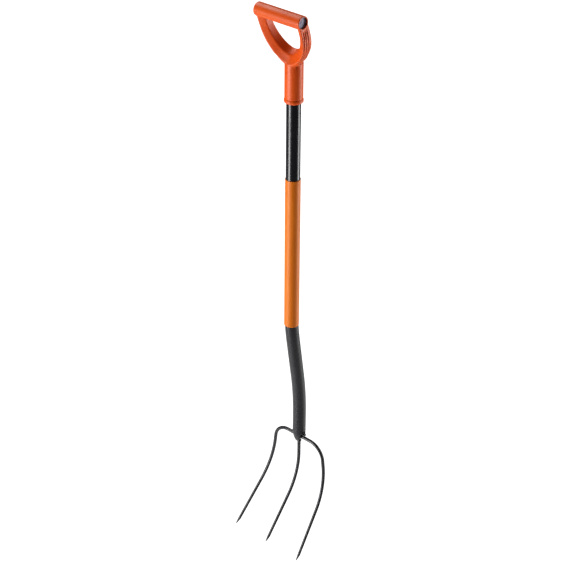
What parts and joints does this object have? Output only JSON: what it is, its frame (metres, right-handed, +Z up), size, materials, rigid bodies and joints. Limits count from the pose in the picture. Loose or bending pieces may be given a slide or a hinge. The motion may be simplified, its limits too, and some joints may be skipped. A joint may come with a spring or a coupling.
{
  "type": "hay fork",
  "caption": "Long-shafted garden fork with round curved tines, a bent steel tube shaft with a coloured sleeve, and a moulded D-handle.",
  "frame": {"origin": "middle of the cross grip's underside, where a hook or the hand carries the fork", "axes": "+Z up along the upper shaft, +X along the cross grip, -Y towards the tines' points"},
  "size_m": [0.197, 0.1292, 1.3025],
  "materials": {
    "handle_plastic": "satin red-orange moulded plastic",
    "sleeve_plastic": "satin orange plastic sleeve",
    "plug_plastic": "matt grey plastic",
    "shaft_paint": "black powder coat with a fine grain",
    "tine_paint": "semi-gloss black paint over forged steel",
    "screw_steel": "zinc-plated steel"
  },
  "bodies": {
    "root": {"d_handle": "handle_plastic", "grip_plug_left": "plug_plastic", "grip_plug_right": "plug_plastic", "handle_screw": "screw_steel", "shaft_tube": "shaft_paint", "shaft_sleeve": "sleeve_plastic", "outer_tines": "tine_paint", "centre_tine": "tine_paint", "weld_left": "tine_paint", "weld_right": "tine_paint", "weld_nose": "tine_paint"}
  },
  "joints": []
}
